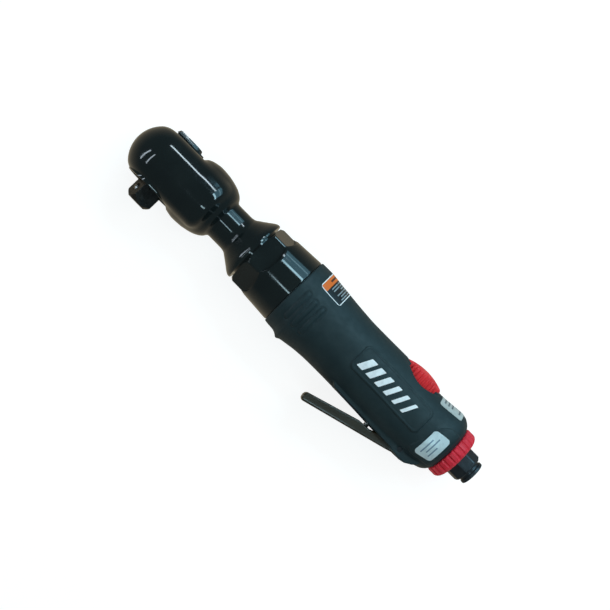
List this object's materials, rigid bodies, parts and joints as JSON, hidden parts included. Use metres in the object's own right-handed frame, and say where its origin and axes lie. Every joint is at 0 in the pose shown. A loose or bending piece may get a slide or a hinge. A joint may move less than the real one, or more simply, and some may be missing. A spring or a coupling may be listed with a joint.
{
  "type": "air ratchet",
  "caption": "In-line pneumatic ratchet wrench with a half inch square drive, throttle lever, regulator dial and threaded air inlet.",
  "frame": {"origin": "centre of the square drive where it leaves the head", "axes": "+X along the tool from the head to the air inlet, -Y the way the square drive points, +Z out of the tool's left side, so the tool lies on its right side"},
  "size_m": [0.2675, 0.0626, 0.0478],
  "materials": {
    "head_paint": "gloss black enamel",
    "drive_steel": "satin hardened steel",
    "inner_steel": "machined steel",
    "spring_steel": "bright spring wire",
    "housing_metal": "cast aluminium",
    "grip_rubber": "matt textured elastomer",
    "lever_paint": "matt black coating",
    "black_oxide": "satin black oxide",
    "dial_red": "satin red moulding",
    "collar_red": "satin red moulding",
    "seal_rubber": "smooth nitrile",
    "vane_resin": "resin bonded fibre",
    "bearing_brass": "machined brass",
    "silencer_felt": "pressed felt"
  },
  "bodies": {
    "handle": {"ratchet_head": "head_paint", "head_thrust_plate": "drive_steel", "head_retaining_ring": "spring_steel", "needle_bearing_front": "inner_steel", "needle_bearing_rear": "inner_steel", "thrust_washer": "bearing_brass", "ring_gear": "inner_steel", "clamp_nut": "head_paint", "front_end_plate": "housing_metal", "rear_end_plate": "housing_metal", "front_bearing": "inner_steel", "rear_bearing": "inner_steel", "motor_cylinder": "inner_steel", "cylinder_pin": "inner_steel", "motor_housing": "housing_metal", "grip_shell": "grip_rubber", "lever_pin": "black_oxide", "stem_guide": "bearing_brass", "valve_seat": "bearing_brass", "stem_o_ring": "seal_rubber", "valve_spring": "spring_steel", "dial_o_ring": "seal_rubber", "inlet_bushing": "black_oxide", "inlet_o_ring": "seal_rubber", "inlet_screen": "inner_steel", "exhaust_silencer": "silencer_felt"},
    "anvil": {"anvil": "drive_steel", "pawl_pins": "inner_steel", "detent_spring": "spring_steel"},
    "detent_ball": {"detent_ball": "inner_steel"},
    "reverse_lever": {"reverse_lever": "head_paint", "reverse_plungers": "inner_steel", "plunger_spring": "spring_steel"},
    "pawl_a": {"pawl_a": "inner_steel"},
    "pawl_b": {"pawl_b": "inner_steel"},
    "yoke": {"ratchet_yoke": "inner_steel"},
    "crankshaft": {"crankshaft": "inner_steel"},
    "drive_bushing": {"drive_bushing": "bearing_brass"},
    "planet_1": {"planet_gear_1": "inner_steel"},
    "planet_2": {"planet_gear_2": "inner_steel"},
    "planet_3": {"planet_gear_3": "inner_steel"},
    "rotor": {"rotor": "inner_steel"},
    "vane_1": {"rotor_vane_1": "vane_resin"},
    "vane_2": {"rotor_vane_2": "vane_resin"},
    "vane_3": {"rotor_vane_3": "vane_resin"},
    "vane_4": {"rotor_vane_4": "vane_resin"},
    "vane_5": {"rotor_vane_5": "vane_resin"},
    "throttle_lever": {"throttle_lever": "lever_paint"},
    "throttle_stem": {"throttle_stem": "inner_steel"},
    "regulator": {"regulator_dial": "dial_red", "regulator_spool": "bearing_brass"},
    "exhaust_collar": {"exhaust_collar": "collar_red"}
  },
  "joints": [
    {"name": "anvil_turn", "type": "hinge", "parent": "handle", "child": "anvil", "pos_m": [0, 0, 0], "axis": [0, -1, 0], "continuous": true},
    {"name": "detent_ball_push", "type": "slide", "parent": "anvil", "child": "detent_ball", "axis": [0.8434, 0, -0.5373], "range_m": [0, 0.0012], "stiffness_N_per_m": 1500, "springref_m": -0.001, "deforming": ["detent_spring"]},
    {"name": "reverse_turn", "type": "hinge", "parent": "anvil", "child": "reverse_lever", "pos_m": [0, 0.03, 0], "axis": [0, 1, 0], "range_deg": [-25, 25]},
    {"name": "pawl_a_rock", "type": "hinge", "parent": "anvil", "child": "pawl_a", "pos_m": [0, 0.015, 0.0089], "axis": [0, 1, 0], "range_deg": [-5.2, 5.2]},
    {"name": "pawl_b_rock", "type": "hinge", "parent": "anvil", "child": "pawl_b", "pos_m": [0, 0.015, -0.0089], "axis": [0, 1, 0], "range_deg": [-5.2, 5.2]},
    {"name": "yoke_swing", "type": "hinge", "parent": "handle", "child": "yoke", "pos_m": [0, 0.0177, 0], "axis": [0, -1, 0], "range_deg": [-6, 6]},
    {"name": "rotor_spin", "type": "hinge", "parent": "handle", "child": "rotor", "pos_m": [0.1146, 0.0177, 0], "axis": [1, 0, 0], "continuous": true},
    {"name": "crank_spin", "type": "hinge", "parent": "handle", "child": "crankshaft", "pos_m": [0.0446, 0.0177, 0], "axis": [1, 0, 0], "continuous": true},
    {"name": "bushing_spin", "type": "hinge", "parent": "crankshaft", "child": "drive_bushing", "pos_m": [0.0166, 0.01944, 0], "axis": [1, 0, 0], "continuous": true},
    {"name": "planet_1_spin", "type": "hinge", "parent": "crankshaft", "child": "planet_1", "pos_m": [0.0886, 0.0177, 0.0102], "axis": [1, 0, 0], "continuous": true},
    {"name": "planet_2_spin", "type": "hinge", "parent": "crankshaft", "child": "planet_2", "pos_m": [0.0886, 0.00887, -0.0051], "axis": [1, 0, 0], "continuous": true},
    {"name": "planet_3_spin", "type": "hinge", "parent": "crankshaft", "child": "planet_3", "pos_m": [0.0886, 0.02653, -0.0051], "axis": [1, 0, 0], "continuous": true},
    {"name": "vane_1_slide", "type": "slide", "parent": "rotor", "child": "vane_1", "axis": [0, 1, 0], "range_m": [0, 0.00124]},
    {"name": "vane_2_slide", "type": "slide", "parent": "rotor", "child": "vane_2", "axis": [0, 0.309, 0.9511], "range_m": [0, 0.00015]},
    {"name": "vane_3_slide", "type": "slide", "parent": "rotor", "child": "vane_3", "axis": [0, -0.809, 0.5878], "range_m": [0, 0.00056]},
    {"name": "vane_4_slide", "type": "slide", "parent": "rotor", "child": "vane_4", "axis": [0, -0.809, -0.5878], "range_m": [0, 0.00056]},
    {"name": "vane_5_slide", "type": "slide", "parent": "rotor", "child": "vane_5", "axis": [0, 0.309, -0.9511], "range_m": [0, 0.00015]},
    {"name": "throttle_squeeze", "type": "hinge", "parent": "handle", "child": "throttle_lever", "pos_m": [0.2018, -0.0025, 0], "axis": [0, 0, -1], "range_deg": [0, 9], "stiffness_Nm_per_rad": 2, "springref_deg": -20.05},
    {"name": "throttle_stem_slide", "type": "slide", "parent": "handle", "child": "throttle_stem", "axis": [0, 1, 0], "range_m": [0, 0.0036], "deforming": ["valve_spring"]},
    {"name": "regulator_turn", "type": "hinge", "parent": "handle", "child": "regulator", "pos_m": [0.1832, 0.0297, 0], "axis": [0, 1, 0], "range_deg": [-135, 135]},
    {"name": "exhaust_collar_turn", "type": "hinge", "parent": "handle", "child": "exhaust_collar", "pos_m": [0.2256, 0.0177, 0], "axis": [1, 0, 0], "continuous": true}
  ],
  "couplings": [
    {"joint": "pawl_a_rock", "follows": "reverse_turn", "ratio": -0.204},
    {"joint": "pawl_b_rock", "follows": "reverse_turn", "ratio": -0.204},
    {"joint": "crank_spin", "follows": "rotor_spin", "ratio": 0.25},
    {"joint": "bushing_spin", "follows": "rotor_spin", "ratio": -0.25},
    {"joint": "planet_1_spin", "follows": "rotor_spin", "ratio": -0.75},
    {"joint": "planet_2_spin", "follows": "rotor_spin", "ratio": -0.75},
    {"joint": "planet_3_spin", "follows": "rotor_spin", "ratio": -0.75},
    {"joint": "throttle_stem_slide", "follows": "throttle_squeeze", "m_per_rad": 0.0224}
  ]
}
